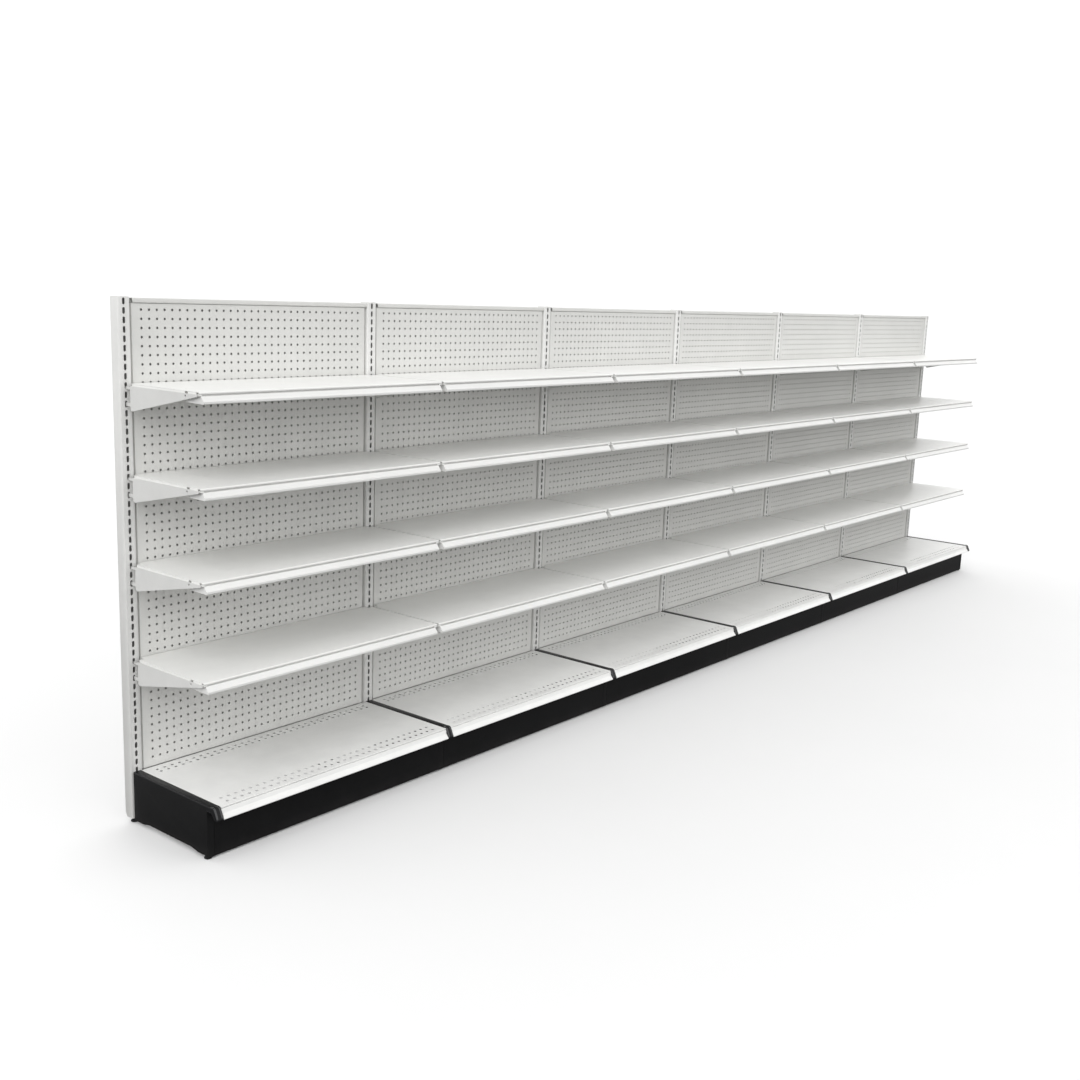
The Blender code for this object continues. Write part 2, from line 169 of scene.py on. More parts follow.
def prism(outline, low, high, facing):
    """A closed solid: an outline seen along an axis, and given its thickness along that axis."""
    turns = {
        "x": lambda a, b, along: (along, a, b),
        "y": lambda a, b, along: (a, along, b),
        "z": lambda a, b, along: (a, b, along),
    }
    shape = bmesh.new()
    ends = []
    for along in (low, high):
        ends.append([shape.verts.new(turns[facing](a, b, along)) for a, b in outline])
        shape.faces.new(ends[-1])
    for index in range(len(outline)):
        corners = (ends[0][index - 1], ends[0][index], ends[1][index], ends[1][index - 1])
        shape.faces.new(corners)
    bmesh.ops.recalc_face_normals(shape, faces=shape.faces)
    return shape


def block(low, high):
    """A plain box between two corners, for a cutter or a web of a larger solid."""
    corners = [(low[0], low[1]), (high[0], low[1]), (high[0], high[1]), (low[0], high[1])]
    return prism(corners, low[2], high[2], "z")


def arc(centre, radius, start, end, steps):
    """Points on a part of a circle, with its angles in degrees."""
    points = []
    for step in range(steps + 1):
        angle = math.radians(start + (end - start) * step / steps)
        points.append((centre[0] + radius * math.cos(angle), centre[1] + radius * math.sin(angle)))
    return points


def solid(*shapes):
    """One mesh from one or more closed shapes."""
    mesh = bpy.data.meshes.new("solid")
    whole = bmesh.new()
    for shape in shapes:
        shape.to_mesh(mesh)
        shape.free()
        whole.from_mesh(mesh)
    whole.to_mesh(mesh)
    whole.free()
    return mesh


def settled(obj):
    """The object's mesh with its modifiers applied. The object itself is removed."""
    bpy.context.view_layer.update()
    evaluated = obj.evaluated_get(bpy.context.evaluated_depsgraph_get())
    mesh = bpy.data.meshes.new_from_object(evaluated)
    bpy.data.objects.remove(obj, do_unlink=True)
    return mesh


def working(mesh):
    """A passing object for a mesh, to hang modifiers on."""
    obj = bpy.data.objects.new("working", mesh)
    bpy.context.scene.collection.objects.link(obj)
    return obj


def combined(mesh, *tools, operation="DIFFERENCE"):
    """The mesh cut by, trimmed to or joined with other closed meshes."""
    obj = working(mesh)
    others = [working(tool) for tool in tools]
    for other in others:
        step = obj.modifiers.new("step", "BOOLEAN")
        step.operation = operation
        step.solver = "EXACT"
        step.object = other
    made = settled(obj)
    for other in others:
        bpy.data.objects.remove(other, do_unlink=True)
    return made


def eased(mesh, width, segments=2, sharp=30.0):
    """The mesh with its hard edges rounded a little, as paint leaves them."""
    obj = working(mesh)
    step = obj.modifiers.new("eased", "BEVEL")
    step.width = width
    step.segments = segments
    step.limit_method = "ANGLE"
    step.angle_limit = math.radians(sharp)
    step.harden_normals = False
    return settled(obj)


def punching_tree():
    """Geometry Nodes that punch rows of equal holes through a closed sheet."""
    tree = bpy.data.node_groups.new("punching", "GeometryNodeTree")
    sockets = {
        "Sheet": "NodeSocketGeometry",
        "First Hole": "NodeSocketVector",
        "Step Across": "NodeSocketVector",
        "Step Up": "NodeSocketVector",
        "Columns": "NodeSocketInt",
        "Rows": "NodeSocketInt",
        "Hole Width": "NodeSocketFloat",
        "Hole Height": "NodeSocketFloat",
        "Corner": "NodeSocketFloat",
        "Corner Facets": "NodeSocketInt",
        "Depth": "NodeSocketFloat",
        "Facing": "NodeSocketRotation",
        "Finish": "NodeSocketMaterial",
    }
    for name, kind in sockets.items():
        tree.interface.new_socket(name, in_out="INPUT", socket_type=kind)
    tree.interface.new_socket("Punched", in_out="OUTPUT", socket_type="NodeSocketGeometry")
    given = tree.nodes.new("NodeGroupInput").outputs

    def node(kind, settings, values, output=0):
        made = tree.nodes.new(kind)
        for setting, value in settings.items():
            setattr(made, setting, value)
        for socket, value in values.items():
            links = value if isinstance(value, list) else [value]
            for link in links:
                if isinstance(link, bpy.types.NodeSocket):
                    tree.links.new(link, made.inputs[socket])
                else:
                    made.inputs[socket].default_value = link
        return made.outputs[output]

    outline = node(
        "GeometryNodeCurvePrimitiveQuadrilateral",
        {},
        {"Width": given["Hole Width"], "Height": given["Hole Height"]},
    )
    rounded = node(
        "GeometryNodeFilletCurve",
        {"mode": "POLY"},
        {
            "Curve": outline,
            "Count": given["Corner Facets"],
            "Radius": given["Corner"],
            "Limit Radius": True,
        },
    )
    face = node("GeometryNodeFillCurve", {"mode": "NGONS"}, {"Curve": rounded})
    up = node("ShaderNodeCombineXYZ", {}, {"Z": 1.0})
    values = {"Mesh": face, "Offset": up, "Offset Scale": given["Depth"], "Individual": False}
    raised = node("GeometryNodeExtrudeMesh", {"mode": "FACES"}, values)
    under = node("GeometryNodeFlipFaces", {}, {"Mesh": face})
    both = node("GeometryNodeJoinGeometry", {}, {"Geometry": [raised, under]})
    punch = node("GeometryNodeMergeByDistance", {}, {"Geometry": both, "Distance": 1e-6})
    line = {"mode": "OFFSET", "count_mode": "TOTAL"}
    values = {"Count": given["Rows"], "Offset": given["Step Up"]}
    rows = node("GeometryNodeMeshLine", line, values)
    values = {
        "Count": given["Columns"],
        "Start Location": given["First Hole"],
        "Offset": given["Step Across"],
    }
    columns = node("GeometryNodeMeshLine", line, values)
    grid = node("GeometryNodeInstanceOnPoints", {}, {"Points": columns, "Instance": rows})
    places = node("GeometryNodeRealizeInstances", {}, {"Geometry": grid})
    values = {"Points": places, "Instance": punch, "Rotation": given["Facing"]}
    punches = node("GeometryNodeInstanceOnPoints", {}, values)
    cutters = node("GeometryNodeRealizeInstances", {}, {"Geometry": punches})
    values = {"Mesh 1": given["Sheet"], "Mesh 2": cutters}
    cut = node("GeometryNodeMeshBoolean", {"operation": "DIFFERENCE", "solver": "MANIFOLD"}, values)
    real = node("GeometryNodeRealizeInstances", {}, {"Geometry": cut})
    finished = node("GeometryNodeSetMaterial", {}, {"Geometry": real, "Material": given["Finish"]})
    out = tree.nodes.new("NodeGroupOutput")
    tree.links.new(finished, out.inputs["Punched"])
    return tree


PUNCHING = punching_tree()
THROUGH_FRONT = (math.radians(90), 0.0, 0.0)
THROUGH_TOP = (0.0, 0.0, 0.0)


def punched(mesh, finish, **sizes):
    """The mesh with rows of holes. Sizes are named as the tree's inputs, with _ for a space."""
    obj = working(mesh)
    step = obj.modifiers.new("punching", "NODES")
    step.node_group = PUNCHING
    sizes["Finish"] = finish
    for item in PUNCHING.interface.items_tree:
        key = item.name.replace(" ", "_")
        if item.in_out == "INPUT" and key in sizes:
            step[item.identifier] = sizes.pop(key)
    assert not sizes, sizes
    return settled(obj)


def smooth(mesh, sharp=35.0):
    """Smooth shading, broken at the edges that turn by more than an angle."""
    mesh.shade_smooth()
    mesh.set_sharp_from_angle(angle=math.radians(sharp))


def placed(name, mesh, finish, shift=(0.0, 0.0, 0.0)):
    """A piece of its own from a pattern mesh, moved in its mesh to where it belongs."""
    own = mesh.copy()
    own.name = name
    own.transform(Matrix.Translation(shift))
    own.materials.clear()
    own.materials.append(finish)
    obj = bpy.data.objects.new(name, own)
    bpy.context.scene.collection.objects.link(obj)
    return obj


def centre_x(node):
    """The middle of a CAD node along the run."""
    low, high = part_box(node)
    return (low.x + high.x) / 2


UPRIGHTS = sorted(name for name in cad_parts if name.startswith("upright_"))
SECTIONS = range(1, len(UPRIGHTS))
UPRIGHT_LOW, UPRIGHT_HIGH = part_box(UPRIGHTS[0])
UPRIGHT_HALF = (UPRIGHT_HIGH.x - UPRIGHT_LOW.x) / 2
FACE_Y = UPRIGHT_LOW.y
REAR_Y = UPRIGHT_HIGH.y
TOP_Z = UPRIGHT_HIGH.z
FIRST_SLOT_Z = TOP_Z - FIRST_SLOT_DROP

upright_white = powder_coat("upright_white", WARM_WHITE, 0.42, soil=FLOOR_DUST)

depth_middle = (FACE_Y + REAR_Y) / 2
depth_half = (REAR_Y - FACE_Y) / 2
square = []
for corner, (side, deep) in enumerate(((1, 1), (-1, 1), (-1, -1), (1, -1))):
    centre = (
        side * (UPRIGHT_HALF - UPRIGHT_CORNER),
        depth_middle + deep * (depth_half - UPRIGHT_CORNER),
    )
    square += arc(centre, UPRIGHT_CORNER, 90 * corner, 90 * corner + 90, 4)
round_centre = (REAR_Y - TOP_REAR_ROUND, TOP_Z - TOP_REAR_ROUND)
rear_past = REAR_Y + 0.001
side_view = [
    (FACE_Y - CUT_PAST, UPRIGHT_LOW.z),
    (REAR_Y - FOOT_CUT_DEEP, UPRIGHT_LOW.z),
    (rear_past, UPRIGHT_LOW.z + FOOT_CUT_TALL),
    (rear_past, round_centre[1]),
    *arc(round_centre, TOP_REAR_ROUND, 0, 90, 6)[1:],
    (FACE_Y - CUT_PAST, TOP_Z),
]
tube = solid(prism(square, UPRIGHT_LOW.z - CUT_PAST, TOP_Z + CUT_PAST, "z"))
trimmed = combined(tube, solid(prism(side_view, -0.03, 0.03, "x")), operation="INTERSECT")
bore_foot = UPRIGHT_LOW.z + FOOT_CUT_TALL + 0.004
bore = solid(
    block(
        (-UPRIGHT_HALF + UPRIGHT_WALL, FACE_Y + UPRIGHT_WALL, bore_foot),
        (UPRIGHT_HALF - UPRIGHT_WALL, REAR_Y - UPRIGHT_WALL, TOP_Z - TOP_REAR_ROUND / 2),
    )
)
upright_pattern = punched(
    combined(eased(trimmed, UPRIGHT_EASE, sharp=50.0), bore),
    upright_white,
    First_Hole=(0.0, FACE_Y + 2 * UPRIGHT_WALL, FIRST_SLOT_Z - (SLOT_COUNT - 1) * SLOT_PITCH),
    Step_Across=(SLOT_PITCH, 0.0, 0.0),
    Step_Up=(0.0, 0.0, SLOT_PITCH),
    Columns=1,
    Rows=SLOT_COUNT,
    Hole_Width=SLOT_WIDTH,
    Hole_Height=SLOT_HEIGHT,
    Corner=SLOT_WIDTH * ROUND_END,
    Corner_Facets=3,
    Depth=4 * UPRIGHT_WALL,
    Facing=THROUGH_FRONT,
)
smooth(upright_pattern)
for node in UPRIGHTS:
    upright = placed(node + "_tube", upright_pattern, upright_white, (centre_x(node), 0, 0))
    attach(upright, "frame")
    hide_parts(node)


# Feet. Black nylon screw feet on steel stems, one under the back of each upright and one under
# the front of each base bracket. The four at the corners of the run turn on their own, and the
# front ones between them stand further back, out of sight behind the kickplates.
FOOT_RADIUS = 0.011
FOOT_HEIGHT = 0.010
FOOT_HEX = 0.0078
STEM_RADIUS = 0.0045
THREAD_PITCH = 0.0016
THREAD_DEEP = 0.0006
DISC_TALL = 0.0060
DISC_EDGE = 0.0012
FOOT_TUCK = 0.010
NYLON_BLACK = (0.018, 0.018, 0.019)

foot_nylon = powder_coat("foot_nylon", NYLON_BLACK, 0.50, peel=0.2, mottle=0.06, gloss=0.15)


def turned(profile, sides=32):
    """A closed round solid from (radius, height) points that start and end on its axis."""
    shape = bmesh.new()
    points = [shape.verts.new((radius, 0.0, height)) for radius, height in profile]
    edges = [shape.edges.new(pair) for pair in zip(points, points[1:])]
    turn = {"angle": math.radians(360), "steps": sides, "use_merge": True}
    bmesh.ops.spin(shape, geom=points + edges, cent=(0, 0, 0), axis=(0, 0, 1), **turn)
    bmesh.ops.remove_doubles(shape, verts=shape.verts, dist=1e-6)
    bmesh.ops.recalc_face_normals(shape, faces=shape.faces)
    return shape


foot_low, foot_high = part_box("leveller_front_left")
stem = [(0.0, FOOT_HEIGHT / 2)]
for turn in range(int((foot_high.z - FOOT_HEIGHT) / THREAD_PITCH)):
    low = FOOT_HEIGHT + turn * THREAD_PITCH
    stem += [(STEM_RADIUS - THREAD_DEEP, low), (STEM_RADIUS, low + THREAD_PITCH / 2)]
stem += [(STEM_RADIUS - THREAD_DEEP, foot_high.z), (0.0, foot_high.z)]
disc = [
    (0.0, 0.0),
    (FOOT_RADIUS - DISC_EDGE, 0.0),
    (FOOT_RADIUS, DISC_EDGE),
    (FOOT_RADIUS, 0.0038),
    (FOOT_RADIUS - DISC_EDGE, 0.0050),
    (FOOT_HEX + 0.0008, 0.0056),
    (0.0, DISC_TALL),
]
hexagon = arc((0, 0), FOOT_HEX, 0, 300, 5)
foot_pattern = solid(turned(disc), prism(hexagon, 0.0052, FOOT_HEIGHT, "z"), turned(stem, 16))
smooth(foot_pattern)
foot_middle = {
    "front": (foot_low.y + foot_high.y) / 2,
    "rear": sum(corner.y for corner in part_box("leveller_rear_left")) / 2,
}
for index, node in enumerate(UPRIGHTS, start=1):
    for place, deep in foot_middle.items():
        end = {1: "left", len(UPRIGHTS): "right"}.get(index)
        body = f"leveller_{place}_{end}" if end else "frame"
        tuck = FOOT_TUCK if place == "front" and not end else 0.0
        shift = (centre_x(node), deep + tuck, 0.0)
        foot = placed(f"foot_{place}_{index}", foot_pattern, foot_nylon, shift)
        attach(foot, body)
        if end:
            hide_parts(body)


# Backs. One sheet-steel back for each section, hung between two uprights and set back behind
# their fronts. The front sheet is punched all over for pegs, jogged back along both sides and
# capped by a rolled rail. A plain sheet closes it from behind.
BACK_SHEET = 0.0010
BACK_JOG_IN = 0.0070
BACK_JOG_DEEP = 0.0080
BACK_FLANGE = 0.012
BACK_SIDE_ROOM = 0.0002
BACK_BEND = 0.0022
REAR_SHEET = 0.0010
REAR_SHEET_INSET = 0.001
FLANGE_TO_REAR = 0.0018
PEG_HOLE = 0.0074
PEG_PITCH = 0.025
PEG_COLUMNS = 33
PEG_ROWS = 53
PEG_TOP_DROP = 0.032
RAIL_SHEET = 0.0012
RAIL_PROUD = 0.003
RAIL_TALL = 0.014
RAIL_REAR_TALL = 0.020
RAIL_GAP = 0.0012
RAIL_END_CUT = 0.005
BACK_FOOT_GAP = 0.0010
# The backs' off-white is set darker than the other whites. This is partly their own tone and partly
# painted shade for the shade under the shelves.
PANEL_SHADED_WHITE = (0.665, 0.665, 0.645)
# The rear sheet is painted a darker grey than the front: painted shade that keeps the peg holes
# dark from in front.
REAR_SHADE_GREY = (0.520, 0.520, 0.505)

panel_white = powder_coat("panel_white", PANEL_SHADED_WHITE, 0.48, peel=0.3, mottle=0.025)
panel_rear = powder_coat("panel_rear", REAR_SHADE_GREY, 0.55, peel=0.3, mottle=0.04)


def folded(path, gauge, bend):
    """The outline, seen on its edge, of a sheet bent along a path with a soft bend at each turn."""
    line = [Vector(path[0])]
    for before, corner, after in zip(path, path[1:], path[2:]):
        corner = Vector(corner)
        back = Vector(before) - corner
        on = Vector(after) - corner
        reach = min(bend, 0.49 * back.length, 0.49 * on.length)
        first = corner + back.normalized() * reach
        last = corner + on.normalized() * reach
        for step in range(5):
            share = step / 4
            line.append(first.lerp(corner, share).lerp(corner.lerp(last, share), share))
    line.append(Vector(path[-1]))
    sides = ([], [])
    for index, point in enumerate(line):
        along = line[min(index + 1, len(line) - 1)] - line[max(index - 1, 0)]
        across = Vector((-along.y, along.x)).normalized() * gauge / 2
        sides[0].append(tuple(point + across))
        sides[1].append(tuple(point - across))
    return sides[0] + sides[1][::-1]


panel_low, panel_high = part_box("back_panel_1")
panel_half = (panel_high.x - panel_low.x) / 2
rail_face = panel_low.y
panel_face = rail_face + RAIL_PROUD
sheet_middle = panel_face + BACK_SHEET / 2
side = panel_half - BACK_SHEET / 2 - BACK_SIDE_ROOM
flat_half = side - BACK_JOG_IN + BACK_SHEET / 2
jog = panel_face + BACK_JOG_DEEP
flange_y = panel_high.y - FLANGE_TO_REAR
left_half = [
    (-side + BACK_FLANGE, flange_y),
    (-side, flange_y),
    (-side, jog),
    (-flat_half, jog),
    (-flat_half, sheet_middle),
]
plan = left_half + [(-across, deep) for across, deep in reversed(left_half)]
sheet_top = panel_high.z - RAIL_TALL - RAIL_GAP
sheet_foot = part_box("base_deck_1")[1].z + BACK_FOOT_GAP
tray = solid(prism(folded(plan, BACK_SHEET, BACK_BEND), sheet_foot, sheet_top, "z"))
first_column = -(PEG_COLUMNS - 1) / 2 * PEG_PITCH
lowest_row = panel_high.z - PEG_TOP_DROP - (PEG_ROWS - 1) * PEG_PITCH
pegged = punched(
    tray,
    panel_white,
    First_Hole=(first_column, panel_face + 4 * BACK_SHEET, lowest_row),
    Step_Across=(PEG_PITCH, 0.0, 0.0),
    Step_Up=(0.0, 0.0, PEG_PITCH),
    Columns=PEG_COLUMNS,
    Rows=PEG_ROWS,
    Hole_Width=PEG_HOLE,
    Hole_Height=PEG_HOLE,
    Corner=PEG_HOLE * ROUND_END,
    Corner_Facets=2,
    Depth=6 * BACK_SHEET,
    Facing=THROUGH_FRONT,
)
smooth(pegged)
rear_sheet = eased(
    solid(
        block(
            (-side + REAR_SHEET_INSET, panel_high.y - REAR_SHEET, panel_low.z + REAR_SHEET_INSET),
            (side - REAR_SHEET_INSET, panel_high.y, panel_high.z - REAR_SHEET_INSET),
        )
    ),
    0.0004,
)
rail_foot = panel_high.z - RAIL_TALL + RAIL_SHEET / 2
rail_crown = panel_high.z - RAIL_SHEET / 2
rail_path = [
    (panel_face + 0.010, rail_foot),
    (rail_face + RAIL_SHEET / 2, rail_foot),
    (rail_face + RAIL_SHEET / 2, rail_crown),
    (flange_y, rail_crown),
    (flange_y, panel_high.z - RAIL_REAR_TALL),
]
rail_left = -flat_half + 0.001
rail_fold = folded(rail_path, RAIL_SHEET, 2 * RAIL_SHEET)
rail = solid(prism(rail_fold, rail_left, panel_half - 0.0004, "x"))
cut_low = (-flat_half - CUT_PAST, panel_high.z - RAIL_TALL - CUT_PAST)
corner_cut = [
    cut_low,
    (rail_left + RAIL_END_CUT, cut_low[1]),
    (-flat_half - 0.002, panel_high.z + CUT_PAST),
    (cut_low[0], panel_high.z + CUT_PAST),
]
rail = combined(rail, solid(prism(corner_cut, rail_face - CUT_PAST, panel_high.y + CUT_PAST, "y")))
smooth(rail)
strip_path = [
    (panel_face + 0.0014, panel_low.z + RAIL_SHEET / 2),
    (panel_high.y - 0.0012, panel_low.z + RAIL_SHEET / 2),
]
foot_strip = solid(prism(folded(strip_path, RAIL_SHEET, 0.001), -flat_half, flat_half, "x"))
for section in SECTIONS:
    node = f"back_panel_{section}"
    shift = (centre_x(node), 0.0, 0.0)
    face = placed(f"back_{section}_pegged_sheet", pegged, panel_white, shift)
    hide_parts(node)
    pieces = [
        face,
        placed(f"back_{section}_rear_sheet", rear_sheet, panel_rear, shift),
        placed(f"back_{section}_top_rail", rail, panel_white, shift),
        placed(f"back_{section}_foot_strip", foot_strip, panel_white, shift),
    ]
    for piece in pieces:
        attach(piece, "frame")


# Base brackets. A black steel channel, open below, hooks into the foot of each upright and carries
# the ends of two decks. Its sides are cut up between a front and a rear foot. A black trim strip
# closes the joint of the decks and ends in a turned-down clip with two rounded ridges.
BASE_WALL = 0.002
BASE_ARCH = 0.006
BASE_ARCH_INSET = 0.045
BASE_ARCH_RISE = 0.030
BASE_TO_UPRIGHT = 0.0004
BASE_TOP_DROP = 0.0024
SPINE_HALF = 0.0022
BASE_TAB_SLOTS = (54, 57)
BASE_TAB_HALF = 0.006
TRIM_GAUGE = 0.0014
TRIM_BEND = 0.006
CLIP_THICK = 0.0042
CLIP_LONG = 0.016
TRIM_HALF = 0.0118
SKIRT_TALL = 0.0155
BEAD_RADIUS = 0.0010
DECK_FLAT = 0.3886
DECK_SIDE_ROOM = 0.0005
BASE_BLACK = (0.0115, 0.0115, 0.0120)
TRIM_BLACK = (0.013, 0.013, 0.014)
CLIP_BLACK = (0.022, 0.022, 0.024)
BLACK_DUST = (0.10, 0.095, 0.09)

black_coat = powder_coat(
    "black_coat",
    BASE_BLACK,
    0.46,
    peel=0.8,
    mottle=0.10,
    speck=0.10,
    soil=(0.10, 0.05, BLACK_DUST),
    gloss=0.10,
)
trim_black = powder_coat(
    "trim_black", TRIM_BLACK, 0.40, peel=0.5, mottle=0.08, speck=0.06, sheen=0.05, gloss=0.12
)
clip_black = powder_coat(
    "clip_black", CLIP_BLACK, 0.20, peel=0.15, mottle=0.05, sheen=0.3, gloss=0.5
)

base_low, base_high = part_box("base_bracket_2")
base_half = (base_high.x - base_low.x) / 2
section_half = (centre_x(UPRIGHTS[1]) - centre_x(UPRIGHTS[0])) / 2
deck_low, deck_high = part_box("base_deck_1")
kick_low, kick_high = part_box("kickplate_1")
base_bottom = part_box("base_bracket_1")[0].z
base_front = kick_low.y
base_rear = FACE_Y - BASE_TO_UPRIGHT
base_top = deck_high.z - BASE_TOP_DROP
arch_start = base_front + BASE_ARCH_INSET + BASE_ARCH_RISE
arch_long = base_rear - base_front - 2 * BASE_ARCH_INSET - 2 * BASE_ARCH_RISE
arch = [
    (base_front, base_bottom),
    (base_front + BASE_ARCH_INSET, base_bottom),
    *[(arch_start + share * arch_long, base_bottom + BASE_ARCH) for share in (0.0, 0.5, 1.0)],
    (base_rear - BASE_ARCH_INSET, base_bottom),
    (base_rear, base_bottom),
    (base_rear, base_top),
    (base_front, base_top),
]
channel = eased(solid(prism(arch, -base_half, base_half, "x")), 0.0012, 3)
hollow = solid(
    block(
        (-base_half + BASE_WALL, base_front + BASE_WALL, base_bottom - CUT_PAST),
        (base_half - BASE_WALL, base_rear + CUT_PAST, base_top - BASE_WALL),
    )
)
channel = combined(channel, hollow)
apron = solid(
    block(
        (-base_half + 0.0004, base_front + 0.0002, kick_low.z + 0.0004),
        (base_half - 0.0004, base_front + BASE_WALL, base_bottom + 0.004),
    )
)
foot_plate = solid(
    block(
        (-base_half + 0.001, base_front + 0.001, foot_high.z + 0.0003),
        (base_half - 0.001, base_front + 0.028, foot_high.z + 0.0023),
    )
)
spine = [
    solid(block((-SPINE_HALF, base_rear - 0.020, 0.03), (SPINE_HALF, base_rear, base_top - 0.001)))
]
for slot in BASE_TAB_SLOTS:
    middle = FIRST_SLOT_Z - slot * SLOT_PITCH
    tab = block(
        (-SPINE_HALF, base_rear - 0.012, middle - BASE_TAB_HALF),
        (SPINE_HALF, FACE_Y + 0.0045, middle + BASE_TAB_HALF),
    )
    spine.append(solid(tab))
channel = combined(channel, foot_plate, apron, *spine, operation="UNION")
smooth(channel)

lip_top_y = panel_face - DECK_FLAT
trim_top = base_high.z - TRIM_GAUGE / 2
trim_path = [
    (base_rear, trim_top),
    (lip_top_y + 0.001, trim_top),
    (deck_low.y + TRIM_GAUGE / 2, deck_low.z + 0.004),
    (deck_low.y + TRIM_GAUGE / 2, deck_low.z + 0.0006),
]
clip_ridge = [
    (lip_top_y + CLIP_LONG, trim_top - 0.0002),
    (lip_top_y + 0.0015, trim_top - 0.0002),
    (deck_low.y + 0.0024, deck_low.z + 0.0060),
    (deck_low.y + 0.0024, deck_low.z + 0.0006),
]


def solid_meshes(*meshes):
    """Several finished meshes as one."""
    whole = bmesh.new()
    for mesh in meshes:
        whole.from_mesh(mesh)
    joined = bpy.data.meshes.new("joined")
    whole.to_mesh(joined)
    whole.free()
    smooth(joined)
    return joined


def trim_set(low_x, high_x):
    """The strip along a deck joint and the two-ridged clip over its nose."""
    strip = solid(prism(folded(trim_path, TRIM_GAUGE, TRIM_BEND), low_x, high_x, "x"))
    strip = eased(strip, 0.0005)
    ridge = (high_x - low_x) * 0.30
    ridge_fold = folded(clip_ridge, CLIP_THICK, TRIM_BEND)
    ridges = []
    for low, high in ((low_x, low_x + ridge), (high_x - ridge, high_x)):
        bar = solid(prism(ridge_fold, low + 0.0002, high - 0.0002, "x"))
        ridges.append(eased(bar, 0.0018, 4))
    smooth(strip)
    return strip, solid_meshes(*ridges)


def span(side, first, last):
    """Two distances from the middle, taken to the left (-1) or right (1), low one first."""
    return sorted((side * first, side * last))


def end_trim(outer):
    """An end strip with its side turned down over the bracket and a bead along both edges of it."""
    strip, clip = trim_set(*span(outer, base_half - 0.0003, -TRIM_HALF))
    skirt_x = outer * (base_half - 0.0006)
    ends = (lip_top_y + 0.010, base_rear - 0.001)
    skirt_outline = [
        (ends[1], base_high.z - 0.0010),
        (lip_top_y + 0.002, base_high.z - 0.0010),
        (deck_low.y + 0.0030, deck_low.z + 0.0060),
        (deck_low.y + 0.0030, deck_low.z + 0.0010),
        (deck_low.y + 0.0100, deck_low.z + 0.0010),
        (lip_top_y + 0.012, base_high.z - SKIRT_TALL),
        (ends[1], base_high.z - SKIRT_TALL),
    ]
    skirt = prism(skirt_outline, skirt_x - 0.0005, skirt_x + 0.0005, "x")
    beads = []
    for drop in (0.0150, 0.0016):
        middle = (outer * (base_half - BEAD_RADIUS), base_high.z - drop)
        beads.append(prism(arc(middle, BEAD_RADIUS, 0, 330, 11), *ends, "y"))
    return solid_meshes(strip, eased(solid(skirt), 0.0002)), solid_meshes(clip, solid(*beads))


trims = {0: trim_set(-TRIM_HALF, TRIM_HALF), -1: end_trim(-1), 1: end_trim(1)}
for index, upright_node in enumerate(UPRIGHTS, start=1):
    node = f"base_bracket_{index}"
    outer = {1: -1, len(UPRIGHTS): 1}.get(index, 0)
    shift = (centre_x(upright_node), 0.0, 0.0)
    bracket = placed(f"base_{index}_channel", channel, black_coat, shift)
    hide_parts(node)
    strip, clip = trims[outer]
    pieces = [
        bracket,
        placed(f"base_{index}_trim", strip, trim_black, shift),
        placed(f"base_{index}_clip", clip, clip_black, shift),
    ]
    for piece in pieces:
        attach(piece, "frame")


# Base decks. The deep bottom shelf of each section, a folded steel pan that rests on two base
# brackets. Two rows of holes run behind the front edge and two along the rear. The front has a
# groove below its edge, then slopes down and out to a turned-in lip.
DECK_SHEET = 0.0007
DECK_HOLE = 0.0096
DECK_HOLE_PITCH = 0.0254
DECK_COLUMNS = 33
DECK_FRONT_ROWS = (0.024, 0.053)
DECK_REAR_ROWS = (0.027, 0.047)
DECK_SKIRT = 0.0235
DECK_BEND = 0.0009
DECK_CORNER = 0.0225
DECK_TO_UPRIGHT = 0.003
DECK_RIB_SHEET = 0.0012
DECK_RIB_HALF = 0.02
DECK_RIB_TALL = 0.022
LIP_RETURN = 0.012
LIP_STEP = 0.0038
LIP_GROOVE = 0.0028
LIP_EDGE = 0.0150
LIP_LEAN = 0.0030
# The deck's white is set lighter than the backs' and brackets' whites: painted light for its lit
# top.
DECK_LIT_WHITE = (0.850, 0.850, 0.835)

deck_white = powder_coat("deck_white", DECK_LIT_WHITE, 0.40, peel=0.3, mottle=0.03, speck=0.04)

deck_half = section_half - TRIM_HALF - DECK_SIDE_ROOM
corner_x = section_half - DECK_CORNER
deck_mid = deck_high.z - DECK_SHEET / 2
deck_path = [
    (deck_high.y - DECK_SHEET / 2, deck_high.z - DECK_SKIRT),
    (deck_high.y - DECK_SHEET / 2, deck_mid),
    (lip_top_y, deck_mid),
    (lip_top_y, deck_mid - LIP_GROOVE),
    (lip_top_y + LIP_STEP, deck_mid - LIP_GROOVE),
    (lip_top_y + LIP_STEP, deck_mid - 2 * LIP_GROOVE),
    (lip_top_y - 0.0004, deck_mid - 2 * LIP_GROOVE),
    (lip_top_y - LIP_LEAN, deck_low.z + LIP_EDGE),
    (deck_low.y + DECK_SHEET / 2, deck_low.z + 0.0028),
    (deck_low.y + DECK_SHEET / 2, deck_low.z + DECK_SHEET / 2),
    (deck_low.y + LIP_RETURN, deck_low.z + DECK_SHEET / 2),
    (deck_low.y + LIP_RETURN, deck_low.z + LIP_RETURN / 2),
]
deck = solid(prism(folded(deck_path, DECK_SHEET, DECK_BEND), -deck_half, deck_half, "x"))
for end_side in (-1, 1):
    inner, outer = span(end_side, corner_x, deck_half + CUT_PAST)
    notch = block(
        (inner, FACE_Y - DECK_TO_UPRIGHT, deck_high.z - 0.05),
        (outer, deck_high.y + CUT_PAST, deck_high.z + CUT_PAST),
    )
    deck = combined(deck, solid(notch))
